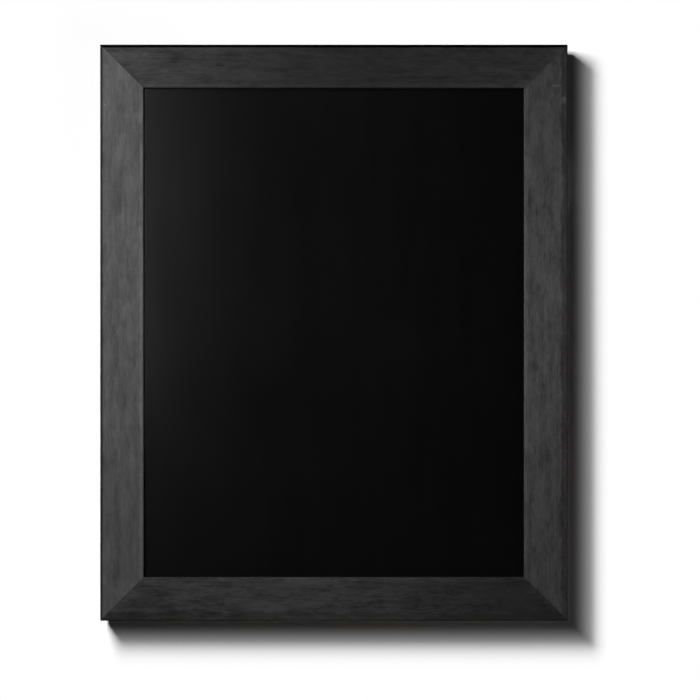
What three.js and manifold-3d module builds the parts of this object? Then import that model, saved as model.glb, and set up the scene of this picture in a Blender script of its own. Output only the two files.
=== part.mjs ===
// A chalkboard that hangs on a wall: a mitred, black-stained wooden frame round a black
// writing panel, with V nails in its mitres, framing tabs behind its panel, and two strap
// hangers and four bumpers on its back.
// Sizes are in millimetres. X runs to the right as seen from the front, Y from the front
// towards the wall, and Z up. The origin lies on the wall, midway between the points where
// the two wall hooks carry the hanger rings.

import * as THREE from "three";
import { mergeVertices } from "three/addons/utils/BufferGeometryUtils.js";
import Module from "manifold-3d";

const wasm = await Module();
wasm.setup();

// The frame
const SIGHT_WIDTH = 350; // the writing surface that shows
const SIGHT_HEIGHT = 450;
const FACE_WIDTH = 40; // of each frame member, seen from the front
const FRAME_DEPTH = 18;
const REBATE_WIDTH = 8; // the step behind the inner edge that takes the panel
const LIP_DEPTH = 4; // the wood left in front of the panel
const OUTER_ARRIS = 2.4; // radius of the eased edge round the outside of the face
const SIGHT_ARRIS = 1.8; // radius of the eased edge round the writing surface
const BACK_ARRIS = 0.8; // radius of the eased edge round the outside of the back
const MITRE_GLUE = 0.2; // the glue line between two members

// The writing panel
const SHEET_THICKNESS = 0.8;
const CORE_THICKNESS = 3.2;
const GLUE_FILM = 0.1; // between the writing sheet and its core
const PANEL_PLAY = 1; // room round the panel for the wood to move
const PANEL_SEAT = 0.1; // between the panel's face and the lip

// The V nails in the mitres
const NAIL_LEG = 7;
const NAIL_DEPTH = 10;
const NAIL_GAUGE = 0.7;
const NAIL_MARGIN = 8.5; // from each edge of the frame's back to the nearer nail
const NAIL_SUNK = 0.3; // below the frame's back
const NAIL_FIT = 0.2; // room round a nail in its kerf

// The framing tabs along the rebate
const TAB_WIDTH = 6;
const TAB_SHOWING = 7; // the length over the panel
const TAB_DRIVEN = 8; // the length in the wood
const TAB_POINT = 3; // the length of its driving point
const TAB_GAUGE = 0.5;
const TAB_FIT = 0.2; // room round a tab in its kerf, and between it and the panel
const TAB_END_ROOM = 65; // from the end of the rebate to the first tab
const TABS_ON_RAIL = 4;
const TABS_ON_STILE = 5;

// The strap hangers
const HOOK_DROP = 100; // from the top of the frame to the hooks
const STRAP_WIDTH = 14;
const STRAP_GAUGE = 0.9;
const FOLD_GAP = 0.2; // between the strap's two layers
const FOLD_BEND = 0.6; // inner radius of the bend from the barrel into the upper layer
const UPPER_LAYER_SHORT = 1; // how far the upper layer stops short of the lower one
const FIRST_SCREW = 9; // from the hinge line to the nearer screw
const SCREW_PITCH = 18;
const STRAP_TAIL = 8; // from the further screw to the strap's end
const STRAP_CORNER = 6; // radius of the corners of the strap's end

// The hanger rings
const WIRE_DIAMETER = 2.4;
const RING_FIT = 0.3; // room round the wire in the strap's barrel
const RING_SIDE_ROOM = 0.5; // between the barrel and the start of each bend
const RING_BEND = 2.5; // radius of the ring's two square corners, at the wire's centre
const RING_ARM = 3; // the straight length of each side of the ring

// The screws
const SCREW_DIAMETER = 3;
const SCREW_LENGTH = 12; // under the head
const SCREW_POINT = 3;
const SCREW_FIT = 0.3; // room round a screw in the wood
const STRAP_HOLE = 4; // diameter
const HEAD_DIAMETER = 6.6;
const HEAD_FLAT = 2.6; // diameter of the flat on top of the head
const HEAD_HEIGHT = 2.2;
const HEAD_RIM = 0.6; // the straight side of the head
const RECESS_SPAN = 3.8; // from tip to tip of the cross
const RECESS_WIDTH = 1;
const RECESS_DEPTH = 1.3;

// The bumpers
const STAND_OFF = 5; // from the frame's back to the wall
const BUMPER_DIAMETER = 11;
const BUMPER_FACE = 7; // diameter of the flat that meets the wall
const BUMPER_RIM = 1.6; // the straight side above the wood
const BUMPER_FROM_END = 38; // from the top or bottom of the frame

// How finely curves are drawn
const ARRIS_STEPS = 3;
const FOLD_STEPS = 8;
const DOME_STEPS = 4;
const ROUND_STEPS = 24;
const WIRE_SIDES = 10;
const RING_STEPS = 56;

const width = SIGHT_WIDTH + 2 * FACE_WIDTH;
const height = SIGHT_HEIGHT + 2 * FACE_WIDTH;
const backWidth = FACE_WIDTH - REBATE_WIDTH;
const backY = -STAND_OFF;
const frontY = backY - FRAME_DEPTH;
const panelBackY = frontY + LIP_DEPTH + PANEL_SEAT + SHEET_THICKNESS + GLUE_FILM + CORE_THICKNESS;

const stainedWood = new THREE.MeshStandardMaterial({ color: 0x383838, roughness: 0.5, metalness: 0 });
const chalkSheet = new THREE.MeshStandardMaterial({ color: 0x131314, roughness: 0.7, metalness: 0 });
const hardboard = new THREE.MeshStandardMaterial({ color: 0x5c4028, roughness: 0.9, metalness: 0 });
const zincSteel = new THREE.MeshStandardMaterial({ color: 0xb4b6b8, roughness: 0.4, metalness: 1 });
const nailSteel = new THREE.MeshStandardMaterial({ color: 0x8a8c8e, roughness: 0.5, metalness: 1 });
const rubber = new THREE.MeshStandardMaterial({ color: 0x1a1a1a, roughness: 0.8, metalness: 0 });

// Matrices and solids

function moved(x, y, z) {
  return new THREE.Matrix4().makeTranslation(x, y, z);
}

// The directions that a geometry's own x, y and z take.
function turned(x, y, z) {
  return new THREE.Matrix4().makeBasis(
    new THREE.Vector3(...x),
    new THREE.Vector3(...y),
    new THREE.Vector3(...z),
  );
}

function quarterTurns(turns) {
  return new THREE.Matrix4().makeRotationY((turns * Math.PI) / 2);
}

function solidOf(geometry) {
  const bare = geometry.clone();
  bare.deleteAttribute("normal");
  bare.deleteAttribute("uv");
  const merged = mergeVertices(bare, 1e-4);
  return new wasm.Manifold(
    new wasm.Mesh({
      numProp: 3,
      vertProperties: new Float32Array(merged.attributes.position.array),
      triVerts: new Uint32Array(merged.index.array),
    }),
  );
}

function geometryOf(solid) {
  const { vertProperties, triVerts } = solid.getMesh();
  const geometry = new THREE.BufferGeometry();
  geometry.setAttribute("position", new THREE.BufferAttribute(vertProperties, 3));
  geometry.setIndex(new THREE.BufferAttribute(triVerts, 1));
  return geometry;
}

function common(one, other) {
  return geometryOf(solidOf(one).intersect(solidOf(other)));
}

function cut(body, cutters) {
  return geometryOf(cutters.reduce((rest, cutter) => rest.subtract(solidOf(cutter)), solidOf(body)));
}

function prism(shape, depth, curveSegments) {
  return new THREE.ExtrudeGeometry(shape, { depth, bevelEnabled: false, curveSegments });
}

function cylinder(diameter, length) {
  return new THREE.CylinderGeometry(diameter / 2, diameter / 2, length, ROUND_STEPS);
}

// The points of a round cap, from its foot up a straight rim, over a dome and in to the axis.
function capProfile(foot, rimRadius, rimHeight, flatRadius, capHeight) {
  const points = [...foot, new THREE.Vector2(rimRadius, rimHeight)];
  for (let i = 1; i <= DOME_STEPS; i++) {
    const turn = ((i / DOME_STEPS) * Math.PI) / 2;
    const x = flatRadius + (rimRadius - flatRadius) * Math.cos(turn);
    const y = rimHeight + (capHeight - rimHeight) * Math.sin(turn);
    points.push(new THREE.Vector2(x, y));
  }
  return [...points, new THREE.Vector2(0, capHeight)];
}

function addPiece(parent, name, geometry, material) {
  const piece = new THREE.Mesh(geometry, material);
  piece.name = name;
  parent.add(piece);
  return piece;
}

// The frame members

// A member's section, with x from its outer edge inwards and y from its back to its front.
function memberSection() {
  const section = new THREE.Shape();
  section.moveTo(BACK_ARRIS, 0);
  section.lineTo(backWidth, 0);
  section.lineTo(backWidth, FRAME_DEPTH - LIP_DEPTH);
  section.lineTo(FACE_WIDTH, FRAME_DEPTH - LIP_DEPTH);
  section.lineTo(FACE_WIDTH, FRAME_DEPTH - SIGHT_ARRIS);
  section.absarc(FACE_WIDTH - SIGHT_ARRIS, FRAME_DEPTH - SIGHT_ARRIS, SIGHT_ARRIS, 0, Math.PI / 2);
  section.lineTo(OUTER_ARRIS, FRAME_DEPTH);
  section.absarc(OUTER_ARRIS, FRAME_DEPTH - OUTER_ARRIS, OUTER_ARRIS, Math.PI / 2, Math.PI);
  section.lineTo(0, BACK_ARRIS);
  section.absarc(BACK_ARRIS, BACK_ARRIS, BACK_ARRIS, Math.PI, 1.5 * Math.PI);
  return section;
}

// A member along x, centred, with its outer edge up at z = reach and its back at the frame's
// back. Each end is drawn back by its distance from the outer edge, which makes the mitre.
function mitredMember(length, reach) {
  const member = prism(memberSection(), length, ARRIS_STEPS);
  const place = member.attributes.position;
  const halfGlue = (MITRE_GLUE / 2) * Math.SQRT2;
  for (let i = 0; i < place.count; i++) {
    const setBack = place.getX(i) + halfGlue;
    place.setZ(i, place.getZ(i) < length / 2 ? setBack : length - setBack);
  }
  member.applyMatrix4(turned([0, 0, -1], [0, -1, 0], [-1, 0, 0]));
  return member.applyMatrix4(moved(length / 2, backY, reach));
}

// The V nails

// A nail's outline in its mitre, with x and y inwards from the frame's outer corner, and its
// legs along the two members. A margin makes it the outline of the kerf.
function nailOutline(fromCorner, margin) {
  const near = fromCorner - NAIL_GAUGE / 2 - margin;
  const inner = fromCorner + NAIL_GAUGE / 2 + margin;
  const far = fromCorner + NAIL_LEG + margin;
  const outline = new THREE.Shape();
  outline.moveTo(near, near);
  outline.lineTo(far, near);
  outline.lineTo(far, inner);
  outline.lineTo(inner, inner);
  outline.lineTo(inner, far);
  outline.lineTo(near, far);
  return outline;
}

// A nail or its kerf, from the frame's outer top left corner. The kerf breaks out of the back.
function cornerNail(fromCorner, margin, breakOut) {
  const nail = prism(nailOutline(fromCorner, margin), NAIL_DEPTH + margin + breakOut);
  nail.applyMatrix4(turned([1, 0, 0], [0, 0, -1], [0, 1, 0]));
  return nail.applyMatrix4(moved(0, backY - NAIL_SUNK - NAIL_DEPTH - margin, 0));
}

const nailPlaces = { outer: NAIL_MARGIN, inner: backWidth - NAIL_MARGIN };

// The framing tabs

// A tab's outline, with y out into the wood from the rebate wall and its showing end rounded.
function tabOutline(margin) {
  const half = TAB_WIDTH / 2 + margin;
  const tip = TAB_DRIVEN + margin;
  const roundY = TAB_WIDTH / 2 - TAB_SHOWING;
  const outline = new THREE.Shape();
  outline.moveTo(half, roundY);
  outline.lineTo(half, tip - TAB_POINT);
  outline.lineTo(0, tip);
  outline.lineTo(-half, tip - TAB_POINT);
  outline.lineTo(-half, roundY);
  outline.absarc(0, roundY, half, Math.PI, 2 * Math.PI);
  return outline;
}

// A tab or its kerf in a top member whose outer edge lies at z = reach.
function framingTab(x, reach, margin) {
  const tab = prism(tabOutline(margin), TAB_GAUGE + 2 * margin, ARRIS_STEPS);
  tab.applyMatrix4(turned([1, 0, 0], [0, 0, 1], [0, -1, 0]));
  return tab.applyMatrix4(moved(x, panelBackY + TAB_FIT + TAB_GAUGE + margin, reach - backWidth));
}

// Where the tabs of a member lie along it, from its middle.
function tabPlaces(length, count) {
  const run = length - 2 * backWidth - 2 * TAB_END_ROOM;
  return Array.from({ length: count }, (_, i) => (i / (count - 1) - 0.5) * run);
}

// The strap hangers

const boreRadius = WIRE_DIAMETER / 2 + RING_FIT;
const barrelRadius = boreRadius + STRAP_GAUGE;
const strapLength = FIRST_SCREW + SCREW_PITCH + STRAP_TAIL;
const strapTop = 2 * STRAP_GAUGE + FOLD_GAP;
const screwDrops = { upper: FIRST_SCREW, lower: FIRST_SCREW + SCREW_PITCH };

// The folded strap seen from its side, with x down it from the hinge line and y off the wood:
// along the wood, up and round the barrel, and back down along its own upper side.
function strapFold() {
  const upperEnd = strapLength - UPPER_LAYER_SHORT;
  const bendY = strapTop + FOLD_BEND;
  const bendX = Math.sqrt((barrelRadius + FOLD_BEND) ** 2 - (bendY - barrelRadius) ** 2);
  const meet = Math.atan2(bendY - barrelRadius, bendX);
  const fold = new THREE.Shape();
  fold.moveTo(strapLength, 0);
  fold.lineTo(0, 0);
  fold.absarc(0, barrelRadius, barrelRadius, 1.5 * Math.PI, meet, true);
  fold.absarc(bendX, bendY, FOLD_BEND, Math.PI + meet, 1.5 * Math.PI);
  fold.lineTo(upperEnd, strapTop);
  fold.lineTo(upperEnd, strapTop - STRAP_GAUGE);
  fold.absarc(bendX, bendY, FOLD_BEND + STRAP_GAUGE, 1.5 * Math.PI, Math.PI + meet, true);
  fold.absarc(0, barrelRadius, boreRadius, meet, 1.5 * Math.PI);
  fold.lineTo(strapLength, STRAP_GAUGE);
  return fold;
}

// The strap seen from behind: square at the barrel and rounded at its lower end.
function strapPlan() {
  const half = STRAP_WIDTH / 2;
  const cornerZ = STRAP_CORNER - strapLength;
  const plan = new THREE.Shape();
  plan.moveTo(half, 2 * barrelRadius);
  plan.lineTo(-half, 2 * barrelRadius);
  plan.lineTo(-half, cornerZ);
  plan.absarc(STRAP_CORNER - half, cornerZ, STRAP_CORNER, Math.PI, 1.5 * Math.PI);
  plan.lineTo(half - STRAP_CORNER, -strapLength);
  plan.absarc(half - STRAP_CORNER, cornerZ, STRAP_CORNER, 1.5 * Math.PI, 2 * Math.PI);
  return plan;
}

// The strap, with its hinge line on the x axis.
function strap() {
  const sheet = prism(strapFold(), 2 * STRAP_WIDTH, FOLD_STEPS);
  sheet.applyMatrix4(turned([0, 0, -1], [0, 1, 0], [1, 0, 0]));
  sheet.applyMatrix4(moved(-STRAP_WIDTH, -barrelRadius, 0));
  const blank = prism(strapPlan(), 4 * barrelRadius, FOLD_STEPS);
  blank.applyMatrix4(turned([1, 0, 0], [0, 0, 1], [0, -1, 0]));
  blank.applyMatrix4(moved(0, 2 * barrelRadius, 0));
  const holes = Object.values(screwDrops).map((drop) =>
    cylinder(STRAP_HOLE, 4 * barrelRadius).applyMatrix4(moved(0, 0, -drop)),
  );
  return cut(common(sheet, blank), holes);
}

const ringHalfWidth = STRAP_WIDTH / 2 + RING_SIDE_ROOM + RING_BEND;
const ringShoulder = RING_BEND + RING_ARM;
const ringInnerTop = ringShoulder + ringHalfWidth - WIRE_DIAMETER / 2;

// The D ring, upright, with its straight bar in the barrel along the x axis.
function ring() {
  const bar = ringHalfWidth - RING_BEND;
  const outline = new THREE.Path();
  outline.moveTo(-bar, 0);
  outline.lineTo(bar, 0);
  outline.absarc(bar, RING_BEND, RING_BEND, -Math.PI / 2, 0);
  outline.lineTo(ringHalfWidth, ringShoulder);
  outline.absarc(0, ringShoulder, ringHalfWidth, 0, Math.PI);
  outline.lineTo(-ringHalfWidth, RING_BEND);
  outline.absarc(-bar, RING_BEND, RING_BEND, Math.PI, 1.5 * Math.PI);
  const points = outline.getSpacedPoints(RING_STEPS).slice(0, RING_STEPS);
  const centreLine = new THREE.CatmullRomCurve3(
    points.map((point) => new THREE.Vector3(point.x, 0, point.y)),
    true,
  );
  return new THREE.TubeGeometry(centreLine, RING_STEPS, WIRE_DIAMETER / 2, WIRE_SIDES, true);
}

// A screw along y, driven towards the front, with the underside of its head at y = 0.
function screw() {
  const shank = SCREW_DIAMETER / 2;
  const head = HEAD_DIAMETER / 2;
  const foot = [
    new THREE.Vector2(0, -SCREW_LENGTH),
    new THREE.Vector2(shank, SCREW_POINT - SCREW_LENGTH),
    new THREE.Vector2(shank, 0),
    new THREE.Vector2(head, 0),
  ];
  const blank = new THREE.LatheGeometry(
    capProfile(foot, head, HEAD_RIM, HEAD_FLAT / 2, HEAD_HEIGHT),
    ROUND_STEPS,
  );
  const recess = [
    [RECESS_SPAN, RECESS_WIDTH],
    [RECESS_WIDTH, RECESS_SPAN],
  ].map(([x, z]) => new THREE.BoxGeometry(x, 2 * RECESS_DEPTH, z).translate(0, HEAD_HEIGHT, 0));
  return cut(blank, recess);
}

// The hole that a screw leaves in the wood, with its mouth at y = 0.
function screwHole() {
  const depth = SCREW_LENGTH - strapTop + SCREW_FIT;
  return cylinder(SCREW_DIAMETER + 2 * SCREW_FIT, 2 * depth);
}

// The bumpers

// A bumper along y, on the wood at y = 0 and flat where it meets the wall.
function bumper() {
  const rim = BUMPER_DIAMETER / 2;
  const foot = [new THREE.Vector2(0, 0), new THREE.Vector2(rim, 0)];
  const profile = capProfile(foot, rim, BUMPER_RIM, BUMPER_FACE / 2, STAND_OFF);
  return new THREE.LatheGeometry(profile, ROUND_STEPS);
}

// The board, put together

const chalkboard = new THREE.Group();
const board = new THREE.Group();
board.position.z = HOOK_DROP - height / 2;
chalkboard.add(board);

// Each side is drawn as the top one and turned round the board's middle.
const rail = { length: width, reach: height / 2, tabs: TABS_ON_RAIL };
const stile = { length: height, reach: width / 2, tabs: TABS_ON_STILE };
const sides = [
  { member: "top_rail", label: "top", turns: 0, ...rail },
  { member: "right_stile", label: "right", turns: 1, ...stile },
  { member: "bottom_rail", label: "bottom", turns: 2, ...rail },
  { member: "left_stile", label: "left", turns: 3, ...stile },
];

const corners = [
  { name: "top_left", x: -width / 2, z: height / 2, turns: 0 },
  { name: "top_right", x: width / 2, z: height / 2, turns: 1 },
  { name: "bottom_right", x: width / 2, z: -height / 2, turns: 2 },
  { name: "bottom_left", x: -width / 2, z: -height / 2, turns: 3 },
];

const stileMiddle = (width - backWidth) / 2;
const hingeZ = height / 2 - HOOK_DROP - ringInnerTop;
const hangers = [
  { name: "left", x: -stileMiddle },
  { name: "right", x: stileMiddle },
];

function nailKerfs() {
  return corners.flatMap(({ x, z, turns }) => {
    const place = moved(x, 0, z).multiply(quarterTurns(turns));
    return Object.values(nailPlaces).map((fromCorner) =>
      cornerNail(fromCorner, NAIL_FIT, 2 * NAIL_SUNK).applyMatrix4(place),
    );
  });
}

function hangerHoles() {
  return hangers.flatMap(({ x }) =>
    Object.values(screwDrops).map((drop) => screwHole().applyMatrix4(moved(x, backY, hingeZ - drop))),
  );
}

for (const { member, label, turns, length, reach, tabs } of sides) {
  const side = new THREE.Group();
  side.rotation.y = (turns * Math.PI) / 2;
  board.add(side);
  const places = tabPlaces(length, tabs);
  const holes = [...nailKerfs(), ...hangerHoles()].map((hole) => hole.applyMatrix4(quarterTurns(-turns)));
  const slots = places.map((x) => framingTab(x, reach, TAB_FIT));
  addPiece(side, member, cut(mitredMember(length, reach), [...holes, ...slots]), stainedWood);
  places.forEach((x, i) => {
    addPiece(side, `framing_tab_${label}_${i + 1}`, framingTab(x, reach, 0), zincSteel);
  });
}

// A layer of the panel whose back lies at the given place.
function addLayer(name, thickness, backFace, material) {
  const across = SIGHT_WIDTH + 2 * (REBATE_WIDTH - PANEL_PLAY);
  const tall = SIGHT_HEIGHT + 2 * (REBATE_WIDTH - PANEL_PLAY);
  const layer = addPiece(board, name, new THREE.BoxGeometry(across, thickness, tall), material);
  layer.position.y = backFace - thickness / 2;
}

addLayer("hardboard_core", CORE_THICKNESS, panelBackY, hardboard);
addLayer("writing_sheet", SHEET_THICKNESS, panelBackY - CORE_THICKNESS - GLUE_FILM, chalkSheet);

for (const { name, x, z, turns } of corners) {
  const corner = new THREE.Group();
  corner.position.set(x, 0, z);
  corner.rotation.y = (turns * Math.PI) / 2;
  board.add(corner);
  for (const [place, fromCorner] of Object.entries(nailPlaces)) {
    addPiece(corner, `v_nail_${name}_${place}`, cornerNail(fromCorner, 0, 0), nailSteel);
  }
  const pad = addPiece(board, `wall_bumper_${name}`, bumper(), rubber);
  pad.position.set(Math.sign(x) * stileMiddle, backY, z - Math.sign(z) * BUMPER_FROM_END);
}

for (const { name, x } of hangers) {
  const hanger = new THREE.Group();
  hanger.position.set(x, backY + barrelRadius, hingeZ);
  board.add(hanger);
  addPiece(hanger, `hanger_strap_${name}`, strap(), zincSteel);
  addPiece(hanger, `hanger_ring_${name}`, ring(), zincSteel);
  for (const [place, drop] of Object.entries(screwDrops)) {
    const fastener = addPiece(hanger, `hanger_screw_${name}_${place}`, screw(), zincSteel);
    fastener.position.set(0, strapTop - barrelRadius, -drop);
  }
}

export default chalkboard;
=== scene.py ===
import math

import bmesh
import bpy
from bpy.props import FloatProperty, FloatVectorProperty, IntProperty, PointerProperty
from mathutils import Euler, Matrix, Vector, noise


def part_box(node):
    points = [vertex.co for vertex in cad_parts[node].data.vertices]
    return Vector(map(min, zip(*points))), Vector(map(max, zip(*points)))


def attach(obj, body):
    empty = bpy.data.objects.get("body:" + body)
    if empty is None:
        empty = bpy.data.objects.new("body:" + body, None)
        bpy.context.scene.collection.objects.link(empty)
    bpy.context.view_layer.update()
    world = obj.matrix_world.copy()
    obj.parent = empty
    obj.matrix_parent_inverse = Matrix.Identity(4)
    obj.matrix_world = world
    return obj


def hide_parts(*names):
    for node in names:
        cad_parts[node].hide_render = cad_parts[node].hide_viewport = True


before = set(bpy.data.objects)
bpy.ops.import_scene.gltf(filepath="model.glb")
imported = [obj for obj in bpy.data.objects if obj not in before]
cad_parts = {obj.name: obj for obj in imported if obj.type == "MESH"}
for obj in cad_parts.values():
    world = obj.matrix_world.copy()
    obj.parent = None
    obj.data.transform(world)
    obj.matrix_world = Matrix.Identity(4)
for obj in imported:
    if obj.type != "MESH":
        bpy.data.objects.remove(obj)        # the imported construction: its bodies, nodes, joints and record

bl_info = {
    "name": "Framed Chalkboard",
    "version": (1, 0, 0),
    "blender": (4, 5, 0),
    "location": "3D View > Sidebar > Chalkboard",
    "description": "Dresses a wall chalkboard: stained frame, writing face, backing and hangers",
    "category": "Object",
}

# Lengths are in metres. X runs to the right as seen from the front, Y from the front towards
# the wall, and Z up. The wall's surface is at y = 0.
MM = 0.001
WELD = 1e-6
QUARTER = math.pi / 2
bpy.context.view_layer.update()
BODY = "board"
WHITE = (1.0, 1.0, 1.0, 1.0)

# Each member is drawn as the top rail and turned round the board's middle by quarter turns.
# Its tone runs through levels from its start over its middle to its end; these levels paint in
# part the light's fall across the board, and are in part the wood's own tone. It has a tone of
# its own beside each mitre, fading over a width. The figure is the grain's contrast. On the outer
# edge the wood is darker by a factor over a strip, and dull over a matt border: a thin darker
# line on the top and left, and on the right and bottom a wide strip of painted shade on edges
# turned from the key lamp. The same factor darkens the opening's wall as painted shade. Each
# patch or glint is an oval: its place along the member and in from the edge, its two radii and
# its tone. The light ovals on the right stile's outer edge are painted reflections, the dark ones
# darker patches. Lengths in this table are in millimetres.
MEMBERS = {
    "top_rail": {
        "quarter": 0, "stain": (0.80, 0.30, 0.80), "figure": 1.7,
        "mitres": ((0.80, 5), (1.45, 17)), "strip": 2.9, "matt": 2.9, "dark": 0.04,
        "marks": [(177, 30, 5, 3.5, 0.62)],
    },
    "right_stile": {
        "quarter": 1, "stain": (0.46, 0.93, 0.62), "figure": 1.45,
        "mitres": ((0.80, 9), (0.88, 6)), "strip": 5.8, "matt": 1.0, "dark": 0.55,
        "marks": [
            (-258, 5.5, 2.4, 2.0, 2.0),
            (-248, 13.5, 4.0, 3.5, 0.62),
            (-227, 10.5, 1.3, 5.0, 1.8),
            (-214, 3.2, 3.6, 1.8, 3.4),
        ],
    },
    "bottom_rail": {
        "quarter": 2, "stain": (0.38, 0.91, 0.49), "figure": 2.3,
        "mitres": ((1.50, 14), (1.52, 18)), "strip": 8.0, "matt": 1.0, "dark": 0.68,
        "marks": [(172, 15, 31, 15, 0.72)],
    },
    "left_stile": {
        "quarter": 3, "stain": (0.98, 1.27, 1.05), "figure": 0.9,
        "mitres": ((1.06, 5), (1.10, 5)), "strip": 2.7, "matt": 2.0, "dark": 0.45,
        "marks": [],
    },
}

# Quarter turns from the top to the corner or the side in a node's name. A corner's name has a
# side's in it, so corners come first.
QUARTERS = {
    "top_left": 0, "top_right": 1, "bottom_right": 2, "bottom_left": 3,
    "top": 0, "right": 1, "bottom": 2, "left": 3,
}


def span(nodes):
    """The lowest and highest corners of several nodes together."""
    lows, highs = zip(*(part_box(node) for node in nodes))
    return Vector([min(low) for low in zip(*lows)]), Vector([max(high) for high in zip(*highs)])


def middle(node):
    low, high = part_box(node)
    return (low + high) / 2


def nodes_like(start):
    return sorted(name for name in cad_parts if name.startswith(start))


def quarter_of(node):
    return next(count for place, count in QUARTERS.items() if place in node)


def quarter_turn(count, axis="Y"):
    return Matrix.Rotation(count * QUARTER, 4, axis)


BOARD_LOW, BOARD_HIGH = span(MEMBERS)
BOARD_MIDDLE = (BOARD_LOW + BOARD_HIGH) / 2
BOARD_WIDTH, FRAME_DEPTH, BOARD_HEIGHT = BOARD_HIGH - BOARD_LOW
FACE_WIDTH = BOARD_HIGH.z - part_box("top_rail")[0].z


def member_size(member):
    """A member's length, and its outer edge's distance from the board's middle."""
    if member["quarter"] % 2:
        return BOARD_HEIGHT, BOARD_WIDTH / 2
    return BOARD_WIDTH, BOARD_HEIGHT / 2


def settings_of(kind, **choices):
    """A maker of settings of one kind."""
    def make(name, description, default):
        return kind(name=name, description=description, default=default, **choices)
    return make


length_prop = settings_of(FloatProperty, min=0.0, unit="LENGTH", precision=5)
window_prop = settings_of(FloatVectorProperty, min=0.0, unit="LENGTH", size=2)
place_prop = settings_of(FloatVectorProperty, unit="LENGTH", subtype="XYZ")
colour_prop = settings_of(FloatVectorProperty, min=0.0, max=1.0, subtype="COLOR")
number_prop = settings_of(FloatProperty, min=0.0)
seed_prop = settings_of(IntProperty)


class FrameSettings(bpy.types.PropertyGroup):
    """Sizes and colours of the four frame members."""

    outer_arris: length_prop("Outer Arris", "Radius of the eased outer edge", 1.4 * MM)
    sight_arris: length_prop("Sight Arris", "Radius of the eased edge by the panel", 1.1 * MM)
    back_arris: length_prop("Back Arris", "Radius of the eased edge round the back", 0.8 * MM)
    rebate_width: length_prop("Rebate Width", "Width of the step that takes the panel", 8 * MM)
    lip_depth: length_prop("Lip Depth", "Wood left in front of the panel", 4 * MM)
    mitre_gap: length_prop("Mitre Gap", "The hairline between two members", 0.06 * MM)
    relief: length_prop("Relief", "Depth of the open grain in the surface", 0.05 * MM)
    grain_width: length_prop("Grain Width", "Width of one streak of grain", 1.1 * MM)
    grain_length: length_prop("Grain Length", "Length of one streak of grain", 34 * MM)
    pore_tone: number_prop("Pore Tone", "How light the stain is in a pore", 0.6)
    joint_tone: number_prop("Joint Tone", "How light the stain is along a mitre", 0.7)
    # The lighter band by the sight edge that this sets is a painted highlight.
    rubbed_tone: number_prop("Rubbed Tone", "How light the rubbed sight edge is", 1.34)
    knock_tone: number_prop("Knock Tone", "How light a small knock is", 1.7)
    gloss: number_prop("Gloss", "Specular level of the stained face", 0.3)
    edge_gloss: number_prop("Edge Gloss", "Specular level of the outer edge", 0.025)
    # The uprights' colour is about twice the rails': this paints in the sheen that light from the left
    # raises on upright grain, beyond what the anisotropic gloss gives.
    stile_colour: colour_prop("Stile Colour", "Stain on the uprights", (0.034, 0.034, 0.0345))
    rail_colour: colour_prop("Rail Colour", "Stain on the level members", (0.016, 0.016, 0.0162))
    raw_colour: colour_prop("Raw Colour", "Thin stain on the frame's back", (0.075, 0.052, 0.036))


class PanelSettings(bpy.types.PropertyGroup):
    """Colours of the writing face and its backing board."""

    face_colour: colour_prop("Face Colour", "The writing face's paint", (0.0021, 0.0021, 0.0022))
    fibre_colour: colour_prop("Fibre Colour", "The backing's pressed fibre", (0.19, 0.108, 0.058))
    screen_pitch: length_prop("Screen Pitch", "Pitch of the press screen's print", 1.5 * MM)
    unevenness: length_prop("Unevenness", "How far a layer strays from flat", 0.04 * MM)


class HardwareSettings(bpy.types.PropertyGroup):
    """Sizes and colours of the metal and rubber parts."""

    zinc_colour: colour_prop("Zinc Colour", "The hangers' and screws' plating", (0.58, 0.59, 0.60))
    spring_colour: colour_prop("Spring Colour", "The panel tabs' steel", (0.40, 0.41, 0.43))
    nail_colour: colour_prop("Nail Colour", "The mitre nails' dull steel", (0.30, 0.30, 0.31))
    rubber_colour: colour_prop("Rubber Colour", "The wall bumpers' rubber", (0.018, 0.018, 0.018))
    nail_gauge: length_prop("Nail Gauge", "Thickness of the mitre nails' sheet steel", 0.7 * MM)
    wire: length_prop("Wire", "Diameter of the hanger rings' wire", 2.4 * MM)
    ring_bend: length_prop("Ring Bend", "Radius of a ring's square corners", 2.5 * MM)
    ring_arm: length_prop("Ring Arm", "Straight length of a ring's side", 3 * MM)
    thread_pitch: length_prop("Thread Pitch", "Pitch of the screws' thread", 1.3 * MM)
    seed: seed_prop("Seed", "Fixes how the fasteners sit", 7)


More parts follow.
